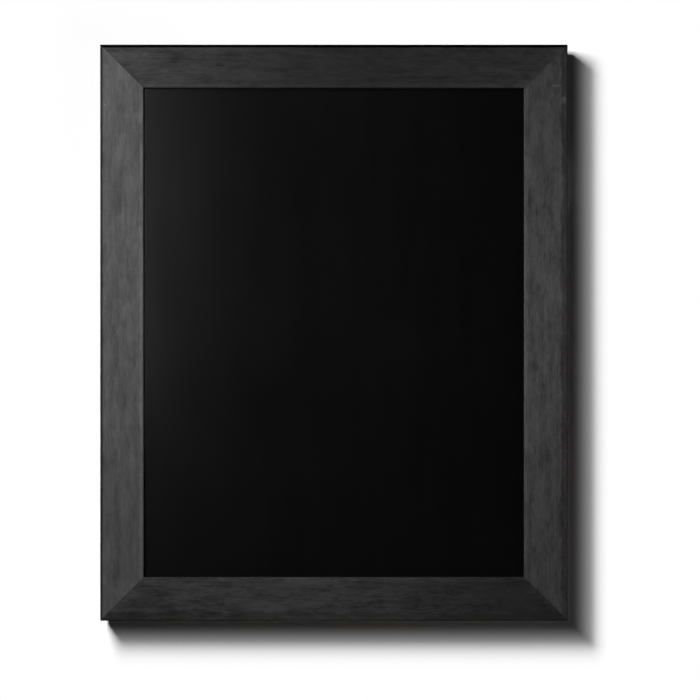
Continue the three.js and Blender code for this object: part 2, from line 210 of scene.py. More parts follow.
class StageSettings(bpy.types.PropertyGroup):
    """The camera, the lamps and the wall."""

    lens: number_prop("Lens", "Focal length in millimetres", 85.0)
    picture: length_prop("Picture Width", "Width seen at the frame's face", 0.6433)
    aim: place_prop("Aim", "The aim, from the board's middle", (14.8 * MM, 0.0, -15.9 * MM))
    key_place: place_prop("Key Place", "Where the main lamp hangs", (-0.576, -0.572, 0.434))
    key_aim: place_prop("Key Aim", "The point that the main lamp faces", (0.856, 0.0, -0.843))
    key_size: window_prop("Key Size", "The main lamp's window", (0.214, 0.503))
    key_power: number_prop("Key Power", "Power of the main lamp in watts", 9.5)
    fill_place: place_prop("Fill Place", "Where the soft second lamp is", (-1.45, -2.1, 0.15))
    fill_size: window_prop("Fill Size", "The second lamp's window", (0.7, 0.7))
    fill_power: number_prop("Fill Power", "Power of the second lamp in watts", 42.0)
    sheen_place: place_prop("Sheen Place", "Where the mirrored lamp is", (-0.623, -2.0, 0.137))
    sheen_size: window_prop("Sheen Size", "The mirrored lamp's window", (0.05, 0.94))
    sheen_power: number_prop("Sheen Power", "Power of the mirrored lamp in watts", 4.2)
    edge_place: place_prop("Edge Place", "Where the lamp for shaded edges is", (1.5, -0.3, -1.2))
    edge_size: window_prop("Edge Size", "The window of the lamp for edges", (0.8, 0.8))
    edge_power: number_prop("Edge Power", "Power of the lamp for shaded edges in watts", 15.0)
    back_power: number_prop("Back Power", "Power of a lamp behind the wall in watts", 16.0)
    ambient: number_prop("Ambient", "Strength of the light from all round", 0.004)
    wall_gain: number_prop("Wall Gain", "How white the wall is in full light", 1.06)


def settings(name):
    return getattr(bpy.context.scene, "chalkboard_" + name)


def chained(operation):
    """A method that adds a math node, or a chain of them that takes in a value at each."""
    def method(graph, total, *values):
        for value in values or [0.0]:
            total = graph.get("ShaderNodeMath", {0: total, 1: value}, operation=operation)
        return total
    return method


class Graph:
    """Adds nodes to a tree. An input takes a number, a colour or another node's output."""

    add, less, mul, over = map(chained, ("ADD", "SUBTRACT", "MULTIPLY", "DIVIDE"))
    most, power, cosine, size = map(chained, ("MAXIMUM", "POWER", "COSINE", "ABSOLUTE"))

    def __init__(self, tree, owner=None):
        self.tree, self.owner = tree, owner

    def node(self, kind, inputs=(), **choices):
        made = self.tree.nodes.new(kind)
        for name, choice in choices.items():
            setattr(made, name, choice)
        for key, value in dict(inputs).items():
            if isinstance(value, bpy.types.NodeSocket):
                self.tree.links.new(value, made.inputs[key])
            else:
                made.inputs[key].default_value = value
        return made

    def get(self, kind, inputs=(), output=0, **choices):
        """One output of a new node."""
        return self.node(kind, inputs, **choices).outputs[output]

    def geo(self, kind, inputs=(), **choices):
        return self.get("GeometryNode" + kind, inputs, **choices)

    def vector(self, operation, *values):
        output = "Value" if operation == "DOT_PRODUCT" else "Vector"
        return self.get("ShaderNodeVectorMath", enumerate(values), output, operation=operation)

    def scaled(self, vector, factor):
        return self.get("ShaderNodeVectorMath", {0: vector, "Scale": factor}, operation="SCALE")

    def turned(self, vector, angle):
        """The vector turned about y."""
        return self.get("ShaderNodeMapping", {"Vector": vector, "Rotation": (0.0, angle, 0.0)})

    def xyz(self, x=0.0, y=0.0, z=0.0):
        return self.get("ShaderNodeCombineXYZ", {0: x, 1: y, 2: z})

    def parts(self, vector):
        return self.node("ShaderNodeSeparateXYZ", {0: vector}).outputs

    def stretched(self, across, through, along, width, length):
        """Coordinates in which a spot of this width and length measures one unit each way."""
        return self.xyz(
            self.over(across, width), self.over(through, width), self.over(along, length)
        )

    def ramp(self, value, start, end, low=0.0, high=1.0, kind="SMOOTHSTEP"):
        """Takes value from start..end to low..high and holds it there outside."""
        inputs = {0: value, 1: start, 2: end, 3: low, 4: high}
        return self.get("ShaderNodeMapRange", inputs, interpolation_type=kind)

    def line(self, value, start, end, low, high):
        return self.ramp(value, start, end, low, high, "LINEAR")

    def swing(self, pattern, low, high):
        """Takes a noise pattern's usual range to low..high."""
        return self.line(pattern, 0.3, 0.7, low, high)

    def tint(self, mask, factor, kind="SMOOTHSTEP"):
        """A factor where the mask is 1, going over to 1 where it is 0."""
        return self.ramp(mask, 0.0, 1.0, 1.0, factor, kind)

    def run(self, value, length, levels):
        """Goes through evenly spaced levels as value goes from -length / 2 to length / 2."""
        step = length / (len(levels) - 1)
        total = levels[0]
        for i, (low, high) in enumerate(zip(levels, levels[1:])):
            begin = i * step - length / 2
            total = self.add(total, self.ramp(value, begin, begin + step, 0.0, high - low))
        return total

    def cloud(self, vector, scale=1.0, detail=2.0, roughness=0.5, distortion=0.0, seed=0.0):
        """A noise pattern. The scale is one number, or one for each axis."""
        if isinstance(scale, tuple):
            vector, scale = self.vector("MULTIPLY", vector, scale), 1.0
        return self.get("ShaderNodeTexNoise", {
            "Vector": vector, "W": seed, "Scale": scale,
            "Detail": detail, "Roughness": roughness, "Distortion": distortion,
        }, noise_dimensions="4D")

    def mix(self, amount, one, other):
        """A colour from one to the other."""
        return self.get("ShaderNodeMix", {0: amount, 6: one, 7: other}, 2, data_type="RGBA")


def empty_graph(owner):
    """The graph of a new material or world."""
    owner.use_nodes = True
    owner.node_tree.nodes.clear()
    return Graph(owner.node_tree, owner)


def new_material(name):
    return empty_graph(bpy.data.materials.new(name))


def finished(g, shader):
    """The material, ended in this shader."""
    g.node("ShaderNodeOutputMaterial", {"Surface": shader})
    return g.owner


def surface(g, colour, roughness, height, depth, inputs):
    """The material, ended in a Principled shader with a bump of this height and depth."""
    bump = g.get("ShaderNodeBump", {"Height": height, "Distance": depth, "Strength": 1.0})
    return finished(g, g.get("ShaderNodeBsdfPrincipled", {
        "Base Color": colour, "Roughness": roughness, "Normal": bump, **inputs,
    }))


def place(g):
    """The surface point in the row frame, which every piece's object shares."""
    return g.get("ShaderNodeTexCoord", output="Object")


# Finishes


def stained_wood(node, gloss, name="stained"):
    """Black stain on open grain, thin and brown behind; the outer edges and the opening carry painted shade,
    and the face painted sheen and highlights.
    """
    wood, member = settings("frame"), MEMBERS[node]
    length, reach = member_size(member)
    turn = quarter_turn(member["quarter"])
    outward = turn @ Vector((0, 0, 1))
    seed = member["quarter"] * 3.7 + 1.3

    g = new_material(f"{name}_{node}")
    point = g.vector("SUBTRACT", place(g), BOARD_MIDDLE)
    along = g.vector("DOT_PRODUCT", point, turn @ Vector((1, 0, 0)))
    inward = g.less(reach, g.vector("DOT_PRODUCT", point, outward))
    depth = g.add(g.parts(point)[1], FRAME_DEPTH / 2)

    def grain(width, length, **choices):
        return g.cloud(g.stretched(inward, depth, along, width, length), seed=seed, **choices)

    streaks = grain(wood.grain_width, wood.grain_length, detail=4.0, roughness=0.62)
    bands = grain(7 * MM, 90 * MM, detail=3.0, roughness=0.55, distortion=0.8)
    blotches = grain(10 * MM, 26 * MM, detail=4.0, roughness=0.62, distortion=0.5)
    mottle = grain(3.2 * MM, 6.5 * MM, detail=3.0, roughness=0.6)
    flecks = grain(1.3 * MM, 9 * MM, detail=3.0, roughness=0.6, distortion=0.3)
    dings = grain(2.6 * MM, 5 * MM, detail=2.0, roughness=0.7, distortion=0.4)
    pores = g.ramp(grain(0.22 * MM, 3.4 * MM, detail=1.0), 0.60, 0.74)

    shade = 1.0
    shares = (streaks, 0.13), (bands, 0.15), (blotches, 0.26), (mottle, 0.10), (flecks, 0.20)
    for pattern, share in shares:
        share *= member["figure"]
        shade = g.add(shade, g.swing(pattern, -share, share))
    shade = g.most(shade, 0.3)

    # Patches and glints are on the face only, and their edges are frayed. The light ovals are painted
    # reflections, the dark ones darker patches.
    off_face = g.ramp(depth, 1.5 * MM, 4.0 * MM, 0.0, 2.0)
    frayed = g.swing(mottle, -0.45, 0.45)
    for *sizes, tone in member["marks"]:
        at_along, at_inward, radius_along, radius_across = (size * MM for size in sizes)
        oval = g.xyz(
            g.over(g.less(along, at_along), radius_along),
            g.over(g.less(inward, at_inward), radius_across),
        )
        away = g.add(g.vector("DOT_PRODUCT", oval, oval), off_face, frayed)
        shade = g.mul(shade, g.ramp(away, 0.1, 1.1, tone, 1.0))

    # Where the stain is darker, it is duller.
    dullness = g.line(shade, 0.4, 1.6, 0.83, 0.55)
    # The run of levels along the member paints in part the light's fall across the board.
    shade = g.mul(shade, g.tint(pores, wood.pore_tone), g.run(along, length, member["stain"]))

    # Each mitre: a thread of darker stain along the joint, in a ragged band of its own tone.
    for way, (tone, width) in zip((-1.0, 1.0), member["mitres"]):
        width *= MM
        from_mitre = g.less(length / 2, g.mul(along, way), inward)
        ragged = g.add(from_mitre, g.swing(mottle, -0.3 * width, 0.3 * width))
        thread = g.ramp(from_mitre, 0.1 * MM, 0.6 * MM, wood.joint_tone, 1.0)
        shade = g.mul(shade, g.ramp(ragged, 0.0, width, tone, 1.0), thread)

    # A band by the sight edge is lighter, as a painted highlight, and small knocks near the outer edge are
    # lighter wear.
    painted_highlight = g.mul(
        g.ramp(inward, FACE_WIDTH - 4.4 * MM, FACE_WIDTH - 3.2 * MM),
        g.ramp(depth, 0.5 * MM, 1.3 * MM, 1.0, 0.0),
    )
    knocks = g.mul(
        g.ramp(dings, 0.655, 0.70),
        g.ramp(inward, 2 * MM, 3 * MM),
        g.ramp(inward, 6 * MM, 12 * MM, 1.0, 0.0),
    )
    highlight_lift = g.tint(painted_highlight, wood.rubbed_tone, "LINEAR")
    shade = g.mul(shade, highlight_lift, g.tint(knocks, wood.knock_tone))

    # Behind and in the rebate the stain is a thin and patchy wash on raw wood.
    rebate = FACE_WIDTH - wood.rebate_width
    behind = g.most(
        g.ramp(depth, FRAME_DEPTH - 1.0 * MM, FRAME_DEPTH - 0.2 * MM),
        g.mul(
            g.ramp(inward, rebate - 0.3 * MM, rebate - 0.1 * MM),
            g.ramp(depth, wood.lip_depth - 0.3 * MM, wood.lip_depth - 0.1 * MM),
        ),
    )
    washed = g.mul(behind, g.ramp(blotches, 0.34, 0.6, 0.35, 0.95))
    # Uprights take the lighter colour, which holds painted sheen, and rails the darker one.
    front = g.scaled(getattr(wood, node.split("_")[1] + "_colour"), shade)
    colour = g.mix(washed, front, g.scaled(wood.raw_colour, shade))

    # The outer edge, with a ragged inner border, is darker: a thin darker line on the top and left,
    # and on the right and bottom a wide strip of painted shade. The opening's wall is darkened as
    # painted shade in the recess.
    strip = member["strip"] * MM
    stray = 0.3 * (strip - 1.5 * MM)
    soft = 0.15 * strip + 0.2 * MM
    border = g.add(inward, g.swing(blotches, -stray, stray))
    outer_edge_stain_and_shade = g.mul(
        g.ramp(border, strip - soft, strip + soft, 1.0, 0.0),
        g.ramp(depth, 2.4 * MM, 6.0 * MM, 1.0, 0.55),
    )
    wall = g.mul(
        g.ramp(inward, FACE_WIDTH - 0.3 * MM, FACE_WIDTH - 0.05 * MM),
        g.ramp(depth, 1.0 * MM, 1.8 * MM),
    )
    dark = g.mul(g.most(outer_edge_stain_and_shade, wall), g.tint(behind, 0.0))
    colour = g.scaled(colour, g.tint(dark, member["dark"], "LINEAR"))

    roughness = g.add(dullness, g.mul(dark, 0.2), g.mul(behind, 0.15))
    height = g.add(streaks, g.mul(pores, -1.2))
    return surface(g, colour, roughness, height, 0.03 * MM, {
        "Specular IOR Level": gloss, "Anisotropic": 0.6, "Tangent": g.xyz(*outward),
    })


def matt_paint():
    """The writing face: near-black, fine-toothed, with a soft sheen where light grazes it."""
    g = new_material("matt_writing_paint")
    point = place(g)
    tooth = g.cloud(point, 2600.0, detail=2.0, roughness=0.7)
    haze = g.cloud(point, 9.0, detail=3.0, roughness=0.55, distortion=0.4)
    wiped = g.cloud(point, (60.0, 60.0, 7.0), detail=3.0, roughness=0.6, seed=4.0)
    shade = g.add(g.swing(haze, 0.9, 1.1), g.swing(wiped, -0.06, 0.06))
    colour = g.scaled(settings("panel").face_colour, shade)
    roughness = g.add(g.swing(haze, 0.203, 0.223), g.line(wiped, 0.35, 0.65, -0.008, 0.008))
    return surface(g, colour, roughness, tooth, 0.008 * MM, {
        "Specular IOR Level": 0.16, "Specular Tint": (0.94, 0.95, 1.0, 1.0),
    })


def pressed_fibre():
    """Hardboard: matted brown fibres under the print of the press screen."""
    panel = settings("panel")
    g = new_material("pressed_fibre")
    point = place(g)
    fibre = (2600.0, 900.0, 210.0)
    fibres = g.most(*(
        g.cloud(g.turned(point, math.radians(lie)), fibre, roughness=0.6, seed=seed)
        for lie, seed in ((12.0, 0.5), (71.0, 1.5), (128.0, 2.5))
    ))
    mottle = g.cloud(point, 42.0, detail=4.0, roughness=0.62)
    specks = g.ramp(g.cloud(point, 900.0, detail=1.0, seed=8.0), 0.66, 0.74)
    x, _, z = g.parts(point)
    wave = 2 * math.pi / panel.screen_pitch
    screen = g.mul(g.cosine(g.mul(x, wave)), g.cosine(g.mul(z, wave)))
    shade = g.mul(
        g.line(fibres, 0.45, 0.75, 0.7, 1.3),
        g.swing(mottle, 0.8, 1.2),
        g.line(screen, -1.0, 1.0, 0.86, 1.08),
        g.tint(specks, 0.45),
    )
    colour = g.scaled(panel.fibre_colour, shade)
    roughness = g.ramp(fibres, 0.4, 0.8, 0.88, 0.68)
    height = g.add(g.mul(screen, 0.8), g.mul(fibres, 1.2))
    return surface(g, colour, roughness, height, 0.09 * MM, {"Specular IOR Level": 0.3})


def plated_steel(name, colour, dullness, scratch_turn=0.0):
    """Metal with faint blotches in its plating, fine scratches and dulled patches."""
    g = new_material(name)
    point = place(g)
    blotch = g.cloud(point, 520.0, detail=3.0, roughness=0.6)
    scratches = g.cloud(g.turned(point, scratch_turn), (9000.0, 9000.0, 320.0), seed=2.0)
    pits = g.ramp(g.cloud(point, 2100.0, seed=5.0), 0.63, 0.75)
    colour = g.scaled(colour, g.mul(g.swing(blotch, 0.84, 1.1), g.tint(pits, 0.6)))
    dulled = g.swing(blotch, dullness + 0.1, dullness)
    roughness = g.add(dulled, g.line(scratches, 0.4, 0.7, 0.0, 0.1))
    height = g.add(scratches, g.mul(pits, -0.8))
    return surface(g, colour, roughness, height, 0.012 * MM, {"Metallic": 1.0})


def moulded_rubber():
    """Matt black rubber with a grainy mould skin and a little dust."""
    g = new_material("moulded_rubber")
    point = place(g)
    skin = g.cloud(point, 3200.0, roughness=0.7)
    dust = g.ramp(g.cloud(point, 420.0, detail=4.0, roughness=0.7, seed=3.0), 0.5, 0.75)
    clean, dusty = (*settings("hardware").rubber_colour, 1.0), (0.06, 0.058, 0.054, 1.0)
    colour = g.mix(g.mul(dust, 0.3), clean, dusty)
    roughness = g.ramp(skin, 0.3, 0.7, 0.66, 0.82)
    return surface(g, colour, roughness, skin, 0.03 * MM, {"Specular IOR Level": 0.35})


# Geometry node trees


def new_tree(name, inputs):
    """A geometry tree and its inputs. Each input has a label, and a default or else a kind."""
    tree = bpy.data.node_groups.new(name, "GeometryNodeTree")
    for label, default in inputs.items():
        kind = default if isinstance(default, str) else type(default).__name__.title()
        socket = tree.interface.new_socket(label, in_out="INPUT", socket_type="NodeSocket" + kind)
        if kind != default:
            socket.default_value = default
    tree.interface.new_socket("Geometry", in_out="OUTPUT", socket_type="NodeSocketGeometry")
    g = Graph(tree)
    return g, g.node("NodeGroupInput").outputs


def end_tree(g, geometry, *finishes):
    """Ends a tree in a real mesh. Each finish is a material and the faces that it goes on."""
    geometry = g.geo("RealizeInstances", {0: geometry})
    for finish, faces in finishes:
        geometry = g.geo(
            "SetMaterial", {"Geometry": geometry, "Selection": faces, "Material": finish}
        )
    g.node("NodeGroupOutput", {0: geometry})
    return g.tree


def straight(g, start, end, points):
    ends = {"Start": g.xyz(*start), "End": g.xyz(*end)}
    line = g.geo("CurvePrimitiveLine", ends, mode="POINTS")
    return g.geo("ResampleCurve", {"Curve": line, "Count": points})


def bend(g, centre, radius, start, sweep, points):
    """A round stretch, from an angle over a sweep."""
    sizes = {"Resolution": points, "Radius": radius, "Start Angle": start, "Sweep Angle": sweep}
    arc = g.geo("CurveArc", sizes, mode="RADIUS")
    return g.geo("Transform", {"Geometry": arc, "Translation": g.xyz(*centre)})


def closed_outline(g, stretches):
    """One closed curve from stretches that meet end to end."""
    join = g.node("GeometryNodeJoinGeometry")
    for stretch in stretches:
        g.tree.links.new(stretch, join.inputs[0])
    edges = g.geo("CurveToMesh", {"Curve": join.outputs[0]})
    welded = g.geo("MergeByDistance", {"Geometry": edges, "Distance": WELD})
    return g.geo("MeshToCurve", {"Mesh": welded})


def mitred_member_tree():
    """A frame member along z: its section swept, its ends mitred and its grain opened."""
    g, given = new_tree("mitred_member", {
        "Length": 0.5, "Face Width": 0.04, "Depth": 0.018, "Rebate Width": 0.008,
        "Lip Depth": 0.004, "Outer Arris": 0.0014, "Sight Arris": 0.0011, "Back Arris": 0.0008,
        "Mitre Gap": 0.00006, "Matt Border": 0.001, "Steps Along": 130, "Steps Across": 72,
        "Arris Steps": 9, "Relief": 0.00005, "Grain Width": 0.0011, "Grain Length": 0.034,
        "Seed": 1, "Finish": "Material", "Edge Finish": "Material",
    })
    length, face, depth, steps = (
        given[label] for label in ("Length", "Face Width", "Depth", "Arris Steps")
    )
    outer, sight, back = (given[edge + " Arris"] for edge in ("Outer", "Sight", "Back"))
    back_width = g.less(face, given["Rebate Width"])
    lip = g.less(depth, given["Lip Depth"])
    sight_x, sight_y, outer_y = g.less(face, sight), g.less(depth, sight), g.less(depth, outer)
    few = 8
    outline = closed_outline(g, [
        straight(g, (back,), (back_width,), 3 * few),
        straight(g, (back_width,), (back_width, lip), few),
        straight(g, (back_width, lip), (face, lip), few),
        straight(g, (face, lip), (face, sight_y), few),
        bend(g, (sight_x, sight_y), sight, 0.0, QUARTER, steps),
        straight(g, (sight_x, depth), (outer, depth), given["Steps Across"]),
        bend(g, (outer, outer_y), outer, QUARTER, QUARTER, steps),
        straight(g, (0.0, outer_y), (0.0, back), 2 * few),
        bend(g, (back, back), back, 2 * QUARTER, QUARTER, steps),
    ])
    path = straight(g, (), (0.0, 0.0, length), given["Steps Along"])
    body = g.geo("CurveToMesh", {"Curve": path, "Profile Curve": outline, "Fill Caps": True})

    x, y, z = g.parts(g.geo("InputPosition"))
    set_back = g.add(x, g.mul(given["Mitre Gap"], math.sqrt(0.5)))
    room = g.less(length, g.mul(set_back, 2.0))
    along = g.add(set_back, g.mul(g.over(z, length), room))
    mitred = g.geo("SetPosition", {"Geometry": body, "Position": g.xyz(x, y, along)})

    spots = g.stretched(x, y, z, given["Grain Width"], given["Grain Length"])
    open_grain = g.ramp(g.cloud(spots, detail=3.0, seed=given["Seed"]), 0.45, 0.78)
    slow = g.scaled(spots, 0.09)
    waviness = g.ramp(g.cloud(slow, detail=1.0, seed=given["Seed"]), 0.3, 0.7)
    sunk = g.mul(g.add(open_grain, waviness), given["Relief"])
    inwards = g.scaled(g.geo("InputNormal"), g.mul(sunk, -1.0))
    grained = g.geo("SetPosition", {"Geometry": mitred, "Offset": inwards})
    on_edge = g.get("FunctionNodeCompare", {0: x, 1: given["Matt Border"]}, operation="LESS_THAN")
    return end_tree(g, grained, (given["Finish"], True), (given["Edge Finish"], on_edge))


def set_on_places_tree():
    """Sets a copy of one piece on each place, turned by the place and a little by chance."""
    g, given = new_tree("set_on_places", {
        "Places": "Geometry", "Piece": "Object", "Slack": 0.0, "Seed": 0, "Finish": "Material",
    })
    slack = given["Slack"]
    limits = {2: g.mul(slack, -1.0), 3: slack, "Seed": given["Seed"]}
    chance = g.get("FunctionNodeRandomValue", limits, 1, data_type="FLOAT")
    about_y = {"Axis": (0.0, 1.0, 0.0), "Angle": chance}
    lean = g.get("FunctionNodeAxisAngleToRotation", about_y)
    turn = g.geo("InputNamedAttribute", {"Name": "turn"}, data_type="FLOAT_VECTOR")
    base = g.get("FunctionNodeEulerToRotation", {0: turn})
    both = g.get("FunctionNodeRotateRotation", {0: base, 1: lean}, rotation_space="GLOBAL")
    piece = g.geo("ObjectInfo", {"Object": given["Piece"]}, output="Geometry")
    copies = g.geo(
        "InstanceOnPoints", {"Points": given["Places"], "Instance": piece, "Rotation": both}
    )
    return end_tree(g, copies, (given["Finish"], True))


def wire_ring_tree():
    """A D ring in the xz plane, bent from round wire, with its straight bar along x."""
    g, given = new_tree("wire_ring", {
        "Half Width": 0.01, "Ring Bend": 0.0025, "Ring Arm": 0.003, "Wire": 0.0024,
        "Round Steps": 72, "Bend Steps": 12, "Wire Sides": 20, "Finish": "Material",
    })
    half, corner, steps = given["Half Width"], given["Ring Bend"], given["Bend Steps"]
    bar = g.less(half, corner)
    left, left_bar = g.mul(half, -1.0), g.mul(bar, -1.0)
    shoulder = g.add(corner, given["Ring Arm"])
    few = 6
    outline = closed_outline(g, [
        straight(g, (left_bar,), (bar,), few),
        bend(g, (bar, corner), corner, -QUARTER, QUARTER, steps),
        straight(g, (half, corner), (half, shoulder), few),
        bend(g, (0.0, shoulder), half, 0.0, 2 * QUARTER, given["Round Steps"]),
        straight(g, (left, shoulder), (left, corner), few),
        bend(g, (left_bar, corner), corner, 2 * QUARTER, QUARTER, steps),
    ])
    round_wire = {"Resolution": given["Wire Sides"], "Radius": g.mul(given["Wire"], 0.5)}
    section = g.geo("CurvePrimitiveCircle", round_wire)
    wire = g.geo("CurveToMesh", {"Curve": outline, "Profile Curve": section})
    upright = g.geo("Transform", {"Geometry": wire, "Rotation": (QUARTER, 0.0, 0.0)})
    return end_tree(g, upright, (given["Finish"], True))


# Meshes and pieces


def new_object(name, mesh):
    obj = bpy.data.objects.new(name, mesh)
    bpy.context.scene.collection.objects.link(obj)
    return obj


def modified(mesh, kind, *uses):
    """The plain mesh that modifiers of one kind make, one for each use's settings."""
    host = new_object("host", mesh)
    for use in uses:
        modifier = host.modifiers.new("change", kind)
        for name, value in use.items():
            if name in modifier.bl_rna.properties:
                setattr(modifier, name, value)
            else:
                modifier[name] = value
    graph = bpy.context.evaluated_depsgraph_get()
    done = bpy.data.meshes.new_from_object(host.evaluated_get(graph), depsgraph=graph)
    bpy.data.objects.remove(host)
    return done


def tree_mesh(tree, values, base=None):
    """The plain mesh that a geometry tree makes with these input values."""
    use = {"node_group": tree}
    for item in tree.interface.items_tree:
        if item.in_out == "INPUT" and item.name in values:
            use[item.identifier] = values[item.name]
    return modified(base or bpy.data.meshes.new("host"), "NODES", use)


def rounded(mesh, width, angle=30.0):
    """The mesh with its hard edges rounded."""
    limit = {"limit_method": "ANGLE", "angle_limit": math.radians(angle)}
    return modified(mesh, "BEVEL", {"width": width, "segments": 2, **limit})


def carved(mesh, cutters, operation="DIFFERENCE"):
    """The mesh with each cutter taken away from it, or with only what it shares with them."""
    tools = [new_object("cutter", cutter) for cutter in cutters]
    done = modified(mesh, "BOOLEAN", *(
        {"operation": operation, "solver": "EXACT", "object": tool} for tool in tools
    ))
    for tool in tools:
        bpy.data.objects.remove(tool)
    return done


def closed_mesh(b, weld=WELD, mesh=None):
    """The mesh of a bmesh, with its corners welded and its faces turned outwards."""
    bmesh.ops.remove_doubles(b, verts=b.verts, dist=weld)
    bmesh.ops.recalc_face_normals(b, faces=b.faces)
    mesh = mesh or bpy.data.meshes.new("closed")
    b.to_mesh(mesh)
    b.free()
    return mesh


def tidied(mesh, sharp=35.0):
    """The mesh, closed, and smooth all but at its sharp edges."""
    b = bmesh.new()
    b.from_mesh(mesh)
    closed_mesh(b, mesh=mesh)
    mesh.shade_smooth()
    mesh.set_sharp_from_angle(angle=math.radians(sharp))
    return mesh


def dress(name, mesh, nodes, body=BODY, material=None):
    """Makes a finished piece that rides on a body and stands for these nodes."""
    if not mesh.polygons:
        raise RuntimeError(f"{name} has no faces")
    if material:
        mesh.materials.clear()
        mesh.materials.append(material)
    piece = new_object(name, mesh)
    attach(piece, body)
    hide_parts(*nodes)


def arc_points(centre, radius, start, end, steps):
    """Points on a round stretch, from one angle to another in radians."""
    angles = [start + (end - start) * i / steps for i in range(steps + 1)]
    return [(centre[0] + radius * math.cos(a), centre[1] + radius * math.sin(a)) for a in angles]


def dome_points(flat, rim, foot, top, steps, skipped=1):
    """A dome's profile from its rim up to its flat middle, as (radius, y)."""
    angles = [QUARTER * i / steps for i in range(skipped, steps + 1)]
    return [(flat + (rim - flat) * math.cos(a), foot + (top - foot) * math.sin(a)) for a in angles]


def prism(points, low, high):
    """A closed prism over an outline in x and y, from z = low to z = high."""
    b = bmesh.new()
    foot = b.faces.new([b.verts.new((x, y, low)) for x, y in points])
    made = bmesh.ops.extrude_face_region(b, geom=[foot])
    top = [v for v in made["geom"] if isinstance(v, bmesh.types.BMVert)]
    bmesh.ops.translate(b, verts=top, vec=(0, 0, high - low))
    return closed_mesh(b, WELD / 10)


def upright_prism(points, half):
    """A closed prism over an outline in x and z, from y = -half to y = half."""
    mesh = prism(points, -half, half)
    mesh.transform(quarter_turn(1, "X"))
    return mesh


def turned_profile(profile, steps):
    """A closed solid of revolution about y, from a profile of (radius, y) ending on the axis."""
    b = bmesh.new()
    verts = [b.verts.new((radius, y, 0)) for radius, y in profile]
    edges = [b.edges.new(pair) for pair in zip(verts, verts[1:])]
    bmesh.ops.spin(
        b, geom=verts + edges, axis=(0, 1, 0), cent=(0, 0, 0), angle=2 * math.pi, steps=steps
    )
    return closed_mesh(b)


def dress_copies(name, mesh, nodes, finish, slack=0.0, y=None, sharp=35.0):
    """Makes a finished piece of copies of a mesh, one for each node.

    A copy has the node's middle and its name's quarter turns, or else the given y and no turns.
    Slack is how far chance may turn it.
    """
    points = [middle(node) for node in nodes]
    counts = [quarter_of(node) for node in nodes]
    if y is not None:
        points = [(point.x, y, point.z) for point in points]
        counts = [0] * len(nodes)
    base = bpy.data.meshes.new("places")
    base.from_pydata(points, [], [])
    turn = base.attributes.new("turn", "FLOAT_VECTOR", "POINT")
    turn.data.foreach_set("vector", [a for count in counts for a in (0.0, count * QUARTER, 0.0)])
    pattern = new_object("pattern", mesh)
    done = tree_mesh(set_on_places_tree(), {
        "Piece": pattern, "Slack": slack, "Seed": settings("hardware").seed, "Finish": finish,
    }, base)
    bpy.data.objects.remove(pattern)
    dress(name, tidied(done, sharp), nodes)


def nail_outline(leg, gauge, margin=0.0):
    """The V of a mitre nail, centred on its box and grown by a margin."""
    near, far, inner = -margin, leg + margin, gauge + margin
    outline = [(near, near), (far, near), (far, inner), (inner, inner), (inner, far), (near, far)]
    return [(x - leg / 2, leg / 2 - y) for x, y in outline]


def nail_kerf(node):
    """A cutter for the slot in the frame's back that a mitre nail was driven through."""
    margin, depth = 0.15 * MM, 0.6 * MM
    low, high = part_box(node)
    outline = nail_outline(high.x - low.x, settings("hardware").nail_gauge, margin)
    kerf = upright_prism(outline, depth)
    over_nail = Matrix.Translation((middle(node).x, BOARD_HIGH.y, middle(node).z))
    kerf.transform(over_nail @ quarter_turn(quarter_of(node)))
    return kerf


def labelled(group):
    """A group's settings, each under its label."""
    return {name.replace("_", " ").title(): getattr(group, name) for name in group.__annotations__}


class CHALKBOARD_OT_frame(bpy.types.Operator):
    """Make the four mitred frame members"""

    bl_idname = "chalkboard.frame"
    bl_label = "Frame Members"

    def execute(self, context):
        wood = settings("frame")
        tree = mitred_member_tree()
        step = 4 * MM
        for node, member in MEMBERS.items():
            length, reach = member_size(member)
            mesh = tree_mesh(tree, {
                **labelled(wood),
                "Length": length,
                "Face Width": FACE_WIDTH,
                "Depth": FRAME_DEPTH,
                "Matt Border": member["matt"] * MM,
                "Steps Along": round(length / step),
                "Seed": member["quarter"] + 1,
                "Finish": stained_wood(node, wood.gloss),
                "Edge Finish": stained_wood(node, wood.edge_gloss, "edge_stained"),
            })
            as_top = Matrix((
                (0, 0, -1, length / 2),
                (0, -1, 0, FRAME_DEPTH / 2),
                (-1, 0, 0, reach),
                (0, 0, 0, 1),
            ))
            turn = quarter_turn(member["quarter"])
            mesh.transform(Matrix.Translation(BOARD_MIDDLE) @ turn @ as_top)
            side = node.split("_")[0]
            kerfs = [nail_kerf(nail) for nail in nodes_like("v_nail") if side in nail.split("_")]
            dress(f"{node}_wood", tidied(carved(tidied(mesh), kerfs)), [node])
        return {"FINISHED"}


def panel_layer(node, edge, phase):
    """A thin layer with eased edges whose faces stray a little from flat."""
    unevenness = settings("panel").unevenness
    low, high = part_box(node)
    centre = (low + high) / 2
    corners = [(low.x, low.z), (high.x, low.z), (high.x, high.z), (low.x, high.z)]
    mesh = rounded(upright_prism(corners, (high.y - low.y) / 2), edge)
    mesh.transform(Matrix.Translation((0, centre.y, 0)))
    b = bmesh.new()
    b.from_mesh(mesh)
    cell = 9 * MM
    for axis, start, end in (((1, 0, 0), low.x, high.x), ((0, 0, 1), low.z, high.z)):
        for i in range(1, round((end - start) / cell)):
            cut = Vector(axis) * (start + i * cell)
            parts = [*b.verts, *b.edges, *b.faces]
            bmesh.ops.bisect_plane(b, geom=parts, plane_co=cut, plane_no=axis, dist=WELD)
    waves = 14.0
    for vert in b.verts:
        stray = noise.noise(Vector((vert.co.x, phase, vert.co.z)) * waves)
        inwards = -1 if vert.co.y > centre.y else 1
        vert.co.y += inwards * unevenness * (0.5 + 0.5 * stray)
    b.to_mesh(mesh)
    b.free()
    return tidied(mesh)


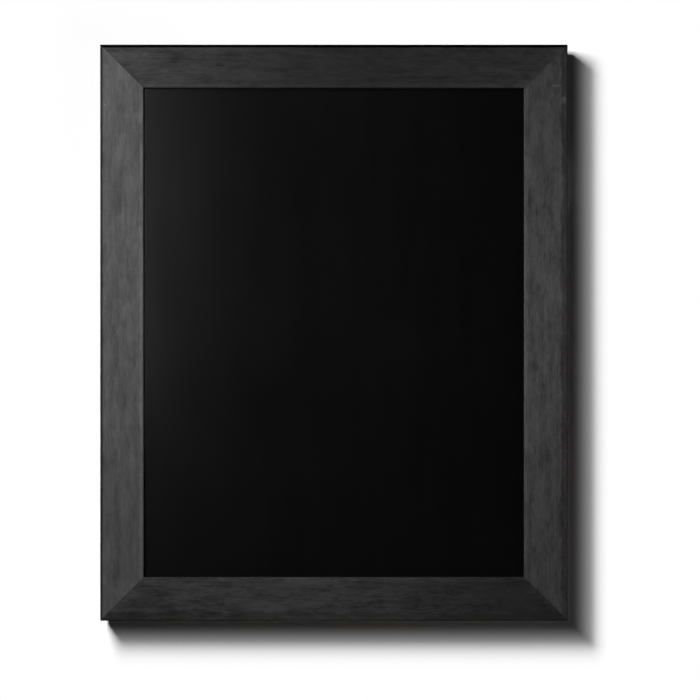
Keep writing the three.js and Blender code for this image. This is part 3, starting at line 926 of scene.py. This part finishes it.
class CHALKBOARD_OT_panel(bpy.types.Operator):
    """Make the writing face and the hardboard behind it"""

    bl_idname = "chalkboard.panel"
    bl_label = "Writing Panel"

    def execute(self, context):
        face = panel_layer("writing_sheet", 0.15 * MM, phase=3.0)
        dress("writing_face", face, ["writing_sheet"], material=matt_paint())
        core = panel_layer("hardboard_core", 0.3 * MM, phase=11.0)
        dress("backing_board", core, ["hardboard_core"], material=pressed_fibre())
        return {"FINISHED"}


class CHALKBOARD_OT_tabs(bpy.types.Operator):
    """Make the framing tabs that hold the panel in its rebate"""

    bl_idname = "chalkboard.tabs"
    bl_label = "Framing Tabs"

    def execute(self, context):
        nodes = nodes_like("framing_tab")
        low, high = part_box("framing_tab_top_1")
        width, gauge, height = high - low
        half, tip = width / 2, height / 2
        point, nick = 3 * MM, 0.35 * MM
        shoulder = tip - point
        round_end = arc_points((0.0, half - tip), half, math.pi, 2 * math.pi, 16)
        barbs = [(half, shoulder - 2 * nick), (half - nick, shoulder - nick), (half, shoulder)]
        outline = [*round_end, *barbs, (0.0, tip), *((-x, y) for x, y in reversed(barbs))]
        tab = rounded(upright_prism(outline, gauge / 2), 0.08 * MM)
        steel = plated_steel("spring_steel", settings("hardware").spring_colour, 0.34)
        dress_copies("panel_tabs", tab, nodes, steel, math.radians(2.0))
        return {"FINISHED"}


class CHALKBOARD_OT_nails(bpy.types.Operator):
    """Make the V nails in the mitres"""

    bl_idname = "chalkboard.nails"
    bl_label = "Mitre Nails"

    def execute(self, context):
        metal = settings("hardware")
        nodes = nodes_like("v_nail")
        low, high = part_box("v_nail_top_left_outer")
        outline = nail_outline(high.x - low.x, metal.nail_gauge)
        nail = rounded(upright_prism(outline, (high.y - low.y) / 2), 0.1 * MM)
        steel = plated_steel("dull_nail_steel", metal.nail_colour, 0.45)
        dress_copies("mitre_nails", nail, nodes, steel)
        return {"FINISHED"}


class CHALKBOARD_OT_bumpers(bpy.types.Operator):
    """Make the four rubber wall bumpers"""

    bl_idname = "chalkboard.bumpers"
    bl_label = "Wall Bumpers"

    def execute(self, context):
        nodes = nodes_like("wall_bumper")
        low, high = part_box(nodes[0])
        rim, tall = (high.x - low.x) / 2, high.y - low.y
        foot, side, flat, dimple = 0.25 * MM, 1.6 * MM, 3.5 * MM, 1.3 * MM
        bumper = turned_profile([
            (0.0, 0.0), (rim - foot, 0.0), (rim, foot), (rim, side),
            (rim - 0.2 * MM, side + 0.1 * MM), (rim - 0.25 * MM, side + 0.3 * MM),
            *dome_points(flat, rim - 0.1 * MM, side, tall, 12, skipped=2),
            (dimple, tall), (dimple * 0.8, tall - 0.2 * MM), (0.0, tall - 0.3 * MM),
        ], 48)
        rubber = moulded_rubber()
        dress_copies("wall_pads", bumper, nodes, rubber, math.pi, low.y)
        return {"FINISHED"}


def folded_strap(node):
    """The strap: one sheet folded round the ring's bar, with rounded ends and screw holes."""
    low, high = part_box(node)
    width = high.x - low.x
    gauge, gap, crease, spare, hole_radius = 0.9 * MM, 0.2 * MM, 0.6 * MM, 1 * MM, 2 * MM
    barrel = (high.y - low.y) / 2
    top = 2 * gauge + gap
    centre = Vector(((low.x + high.x) / 2, low.y + barrel, high.z - barrel))
    length = centre.z - low.z
    short, uncut = length - spare, length + spare

    # The sheet's edge, with the barrel's axis over the origin and the strap along x.
    crease_y = top + crease
    crease_x = math.sqrt((barrel + crease) ** 2 - (crease_y - barrel) ** 2)
    meet = math.atan2(crease_y - barrel, crease_x)
    down = 3 * QUARTER
    fold, turn_up = (0.0, barrel), (crease_x, crease_y)
    sheet = prism([
        (uncut, 0.0),
        *arc_points(fold, barrel, down, meet, 48),
        *arc_points(turn_up, crease, math.pi + meet, down, 8),
        (short, top),
        (short, top - gauge),
        *arc_points(turn_up, crease + gauge, down, math.pi + meet, 8),
        *arc_points(fold, barrel - gauge, meet, down, 40),
        (uncut, gauge),
    ], -width, width)
    sheet.transform(Matrix.Translation((0, -barrel, 0)) @ quarter_turn(1))

    # The strap's outline from behind, and its holes.
    half, corner = width / 2, 6 * MM
    blank = upright_prism([
        (half, 2 * barrel),
        (-half, 2 * barrel),
        *arc_points((corner - half, corner - length), corner, math.pi, down, 12),
        *arc_points((half - corner, corner - length), corner, down, 2 * math.pi, 12),
    ], 2 * barrel)
    holes = []
    for screw in nodes_like(node.replace("strap", "screw")):
        at = (0.0, middle(screw).z - centre.z)
        hole = arc_points(at, hole_radius, 0.0, 2 * math.pi, 32)[:-1]
        holes.append(upright_prism(hole, 2 * barrel))
    strap = rounded(carved(carved(sheet, [blank], "INTERSECT"), holes), 0.14 * MM, angle=40.0)
    strap.transform(Matrix.Translation(centre))
    return strap


class CHALKBOARD_OT_straps(bpy.types.Operator):
    """Make the two folded hanger straps"""

    bl_idname = "chalkboard.straps"
    bl_label = "Hanger Straps"

    def execute(self, context):
        zinc = plated_steel("zinc_plate", settings("hardware").zinc_colour, 0.24)
        for node in nodes_like("hanger_strap"):
            mesh = tidied(folded_strap(node), sharp=50.0)
            dress(f"{node}_fold", mesh, [node], material=zinc)
        return {"FINISHED"}


class CHALKBOARD_OT_rings(bpy.types.Operator):
    """Make the two wire D rings that swing in the straps"""

    bl_idname = "chalkboard.rings"
    bl_label = "Hanger Rings"

    def execute(self, context):
        metal = settings("hardware")
        zinc = plated_steel("ring_zinc", metal.zinc_colour, 0.2, scratch_turn=0.6)
        tree = wire_ring_tree()
        for node in nodes_like("hanger_ring"):
            low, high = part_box(node)
            mesh = tree_mesh(tree, {
                **labelled(metal),
                "Half Width": (high.x - low.x - metal.wire) / 2,
                "Finish": zinc,
            })
            bar = (middle(node).x, middle(node).y, low.z + metal.wire / 2)
            mesh.transform(Matrix.Translation(bar))
            body = node.replace("hanger_ring_", "") + "_ring"
            dress(f"{node}_wire", tidied(mesh), [node], body=body)
        return {"FINISHED"}


def wood_screw(length, shank, head, head_height, pitch):
    """A pan-head wood screw along y, with its head above y = 0 and a cross recess."""
    rows_per_turn, sides = 8, 32
    rows = round(length / pitch * rows_per_turn)
    flat, rim, ease = 1.3 * MM, 0.6 * MM, 0.12 * MM
    mesh = turned_profile([
        (0.0, -length), *((shank, length * (i / rows - 1)) for i in range(1, rows + 1)),
        (head - ease, 0.0), (head, ease), (head, rim),
        *dome_points(flat, head, rim, head_height, 10), (0.0, head_height),
    ], sides)

    # The shank narrows to a point, and its thread runs out below the head.
    core, root = 0.72, 0.25
    point, plain_from, runout = 3 * MM, 1.5 * MM, 1 * MM
    for vert in mesh.vertices:
        x, y, z = vert.co
        rise = abs((y / pitch - math.atan2(z, x) / (2 * math.pi)) % 1.0 * 2 - 1)
        thread = core + (1 - core) * max(0.0, rise - root) / (1 - root)
        plain = min(1.0, max(0.0, (y + plain_from) / runout))
        size = min(1.0, (y + length) / point) * (thread * (1 - plain) + plain)
        vert.co = (x * size, y, z * size)
    return carved(mesh, [cross_cutter(head_height)])


def cross_cutter(head_height):
    """The driver's cross, narrowing as it goes down into the head."""
    tip, half, depth, clear, narrowing = 1.9 * MM, 0.5 * MM, 1.3 * MM, 0.5 * MM, 0.42
    arms = [(tip, -half), (tip, half), (half, half), (half, tip), (-half, tip), (-half, half)]
    mesh = prism([*arms, *((-x, -y) for x, y in arms)], 0.0, depth + clear)
    for vert in mesh.vertices:
        if vert.co.z < WELD:
            vert.co.x *= narrowing
            vert.co.y *= narrowing
    mesh.transform(Matrix.Translation((0, head_height - depth, 0)) @ quarter_turn(-1, "X"))
    return mesh


class CHALKBOARD_OT_screws(bpy.types.Operator):
    """Make the four screws that hold the hanger straps"""

    bl_idname = "chalkboard.screws"
    bl_label = "Strap Screws"

    def execute(self, context):
        metal = settings("hardware")
        nodes = nodes_like("hanger_screw")
        low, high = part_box(nodes[0])
        shank, head, head_height, sharp = 1.5 * MM, (high.x - low.x) / 2, 2.2 * MM, 40.0
        length = high.y - low.y - head_height
        screw = tidied(wood_screw(length, shank, head, head_height, metal.thread_pitch), sharp)
        zinc = plated_steel("screw_zinc", metal.zinc_colour, 0.22, scratch_turn=1.1)
        under_head = high.y - head_height
        dress_copies(
            "strap_screws", screw, nodes, zinc, math.pi, under_head, sharp
        )
        return {"FINISHED"}


# The stage


def add_lamp(name, target, position, size, power):
    data = bpy.data.lights.new(name, "AREA")
    data.shape = "RECTANGLE"
    data.size, data.size_y = size
    data.energy = power
    lamp = new_object(name, data)
    lamp.location = position
    lamp.rotation_euler = (Vector(target) - Vector(position)).to_track_quat("-Z", "Y").to_euler()
    lamp.visible_camera = False
    return lamp


def flat_sheet(name, corners, material):
    """A sheet that the camera sees and that gives the board neither light nor shade."""
    mesh = bpy.data.meshes.new(name)
    mesh.from_pydata(corners, [], [(0, 1, 2, 3)])
    mesh.materials.append(material)
    sheet = new_object(name, mesh)
    sheet.visible_diffuse = False
    sheet.visible_glossy = False
    sheet.visible_shadow = False
    return sheet


def one_sided(g, front):
    """The material, ended in a shader that can't be seen from behind."""
    clear = g.get("ShaderNodeBsdfTransparent")
    behind = g.get("ShaderNodeNewGeometry", output="Backfacing")
    return finished(g, g.get("ShaderNodeMixShader", {0: behind, 1: front, 2: clear}))


def studio_white():
    """White paper: it holds the key lamp's shadow, and is plain white away from the board."""
    stage = settings("stage")
    lamp = Vector(stage.key_place)
    facing = (Vector(stage.key_aim) - lamp).normalized()
    g = new_material("studio_white")
    point = place(g)

    # The key lights the wall unevenly, and the paper's tone makes up for it.
    away = g.vector("SUBTRACT", point, lamp)
    squared = g.vector("DOT_PRODUCT", away, away)
    ahead = g.vector("DOT_PRODUCT", away, facing)
    level = stage.wall_gain * math.pi ** 2 / (stage.key_power * -lamp.y)
    tone = g.mul(g.over(g.power(squared, 2.0), ahead), level)
    lit = g.get("ShaderNodeBsdfDiffuse", {"Color": g.xyz(tone, tone, tone)})

    white = g.get("ShaderNodeEmission", {"Color": WHITE, "Strength": 1.0})
    x, _, z = g.parts(g.vector("SUBTRACT", point, BOARD_MIDDLE))
    beside = g.less(g.size(x), BOARD_WIDTH / 2)
    above = g.less(g.size(z), BOARD_HEIGHT / 2)
    far = g.ramp(g.most(beside, above), 6 * MM, 60 * MM)
    return one_sided(g, g.get("ShaderNodeMixShader", {0: far, 1: lit, 2: white}))


def pale_floor():
    g = new_material("pale_floor")
    return one_sided(g, g.get("ShaderNodeEmission", {"Color": (0.93, 0.93, 0.93, 1.0)}))


class CHALKBOARD_OT_stage(bpy.types.Operator):
    """Make the white wall, the pale floor, the lamps and the camera"""

    bl_idname = "chalkboard.stage"
    bl_label = "Stage"

    def execute(self, context):
        stage = settings("stage")
        scene = context.scene
        scene.view_settings.view_transform = "Standard"
        self.add_camera(scene, stage)

        reach, drop = 3.0, -0.95
        left, right = (-reach, 0, drop), (reach, 0, drop)
        wall = flat_sheet(
            "wall", [left, right, (reach, 0, reach), (-reach, 0, reach)], studio_white()
        )
        floor = flat_sheet(
            "floor", [(-reach, -reach, drop), (reach, -reach, drop), right, left], pale_floor()
        )

        lamps = {}
        for name in ("key", "fill", "sheen", "edge"):
            target = stage.key_aim if name == "key" else BOARD_MIDDLE
            given = (getattr(stage, f"{name}_{part}") for part in ("place", "size", "power"))
            lamps[name] = add_lamp(name, target, *given)
            if name != "key":
                self.keep_off(lamps[name], wall)
        for name, where, size, share in (
            ("back_left", (-1.1, 1.0, 0.5), (0.9, 0.9), 1.0),
            ("back_right", (1.2, 0.8, 0.2), (0.9, 0.9), 1.0),
            ("back_low", (0.2, 1.0, -1.1), (0.9, 0.6), 0.5),
        ):
            lamps[name] = add_lamp(name, BOARD_MIDDLE, where, size, share * stage.back_power)
        # Light from the sides and from behind doesn't bounce off the board and on to the wall.
        for name, lamp in lamps.items():
            if name.startswith(("edge", "back")):
                lamp.data.cycles.max_bounces = 0
                lamp.data.cycles.use_multiple_importance_sampling = False
        self.light_the_room(scene, stage)
        return {"FINISHED"}

    def keep_off(self, lamp, sheet):
        """Keeps a lamp's light off a sheet, so that the key's shadow there stays deep."""
        unlit = bpy.data.collections.new(lamp.name + "_unlit")
        unlit.objects.link(sheet)
        lamp.light_linking.receiver_collection = unlit
        unlit.collection_objects[0].light_linking.link_state = "EXCLUDE"

    def add_camera(self, scene, stage):
        data = bpy.data.cameras.new("camera")
        data.lens = stage.lens
        distance = stage.picture * stage.lens / data.sensor_width
        camera = new_object("camera", data)
        front = Vector((BOARD_MIDDLE.x, BOARD_LOW.y - distance, BOARD_MIDDLE.z))
        camera.location = front + Vector(stage.aim)
        camera.rotation_euler = Euler((QUARTER, 0, 0))
        scene.camera = camera

    def light_the_room(self, scene, stage):
        """White to the camera, and behind the board for gloss; dim for everything else."""
        g = empty_graph(bpy.data.worlds.new("room"))
        rays = g.node("ShaderNodeLightPath").outputs
        direction = g.get("ShaderNodeTexCoord", output="Generated")
        behind = g.ramp(g.parts(direction)[1], -0.05, 0.35, 0.02, 1.0)
        seen = g.most(rays["Is Camera Ray"], rays["Is Transmission Ray"])
        strength = g.most(seen, g.mul(rays["Is Glossy Ray"], behind), stage.ambient)
        light = g.get("ShaderNodeBackground", {"Color": WHITE, "Strength": strength})
        g.node("ShaderNodeOutputWorld", {"Surface": light})
        scene.world = g.owner


class CHALKBOARD_PT_pieces(bpy.types.Panel):
    """Lists the pieces that can be made"""

    bl_idname = "CHALKBOARD_PT_pieces"
    bl_label = "Chalkboard"
    bl_space_type = "VIEW_3D"
    bl_region_type = "UI"
    bl_category = "Chalkboard"

    def draw(self, context):
        for operator in OPERATORS:
            self.layout.operator(operator.bl_idname)
        for name in SETTINGS:
            box = self.layout.box()
            group = settings(name)
            for prop in group.__annotations__:
                box.prop(group, prop)


SETTINGS = {
    "frame": FrameSettings,
    "panel": PanelSettings,
    "hardware": HardwareSettings,
    "stage": StageSettings,
}

OPERATORS = (
    CHALKBOARD_OT_stage,
    CHALKBOARD_OT_frame,
    CHALKBOARD_OT_panel,
    CHALKBOARD_OT_tabs,
    CHALKBOARD_OT_nails,
    CHALKBOARD_OT_bumpers,
    CHALKBOARD_OT_straps,
    CHALKBOARD_OT_rings,
    CHALKBOARD_OT_screws,
)

CLASSES = (*SETTINGS.values(), *OPERATORS, CHALKBOARD_PT_pieces)


def register():
    for cls in CLASSES:
        bpy.utils.register_class(cls)
    for name, group in SETTINGS.items():
        setattr(bpy.types.Scene, "chalkboard_" + name, PointerProperty(type=group))


def unregister():
    for name in SETTINGS:
        delattr(bpy.types.Scene, "chalkboard_" + name)
    for cls in reversed(CLASSES):
        bpy.utils.unregister_class(cls)


def main():
    register()
    for operator in OPERATORS:
        group, name = operator.bl_idname.split(".")
        getattr(getattr(bpy.ops, group), name)()


if __name__ == "__main__":
    main()
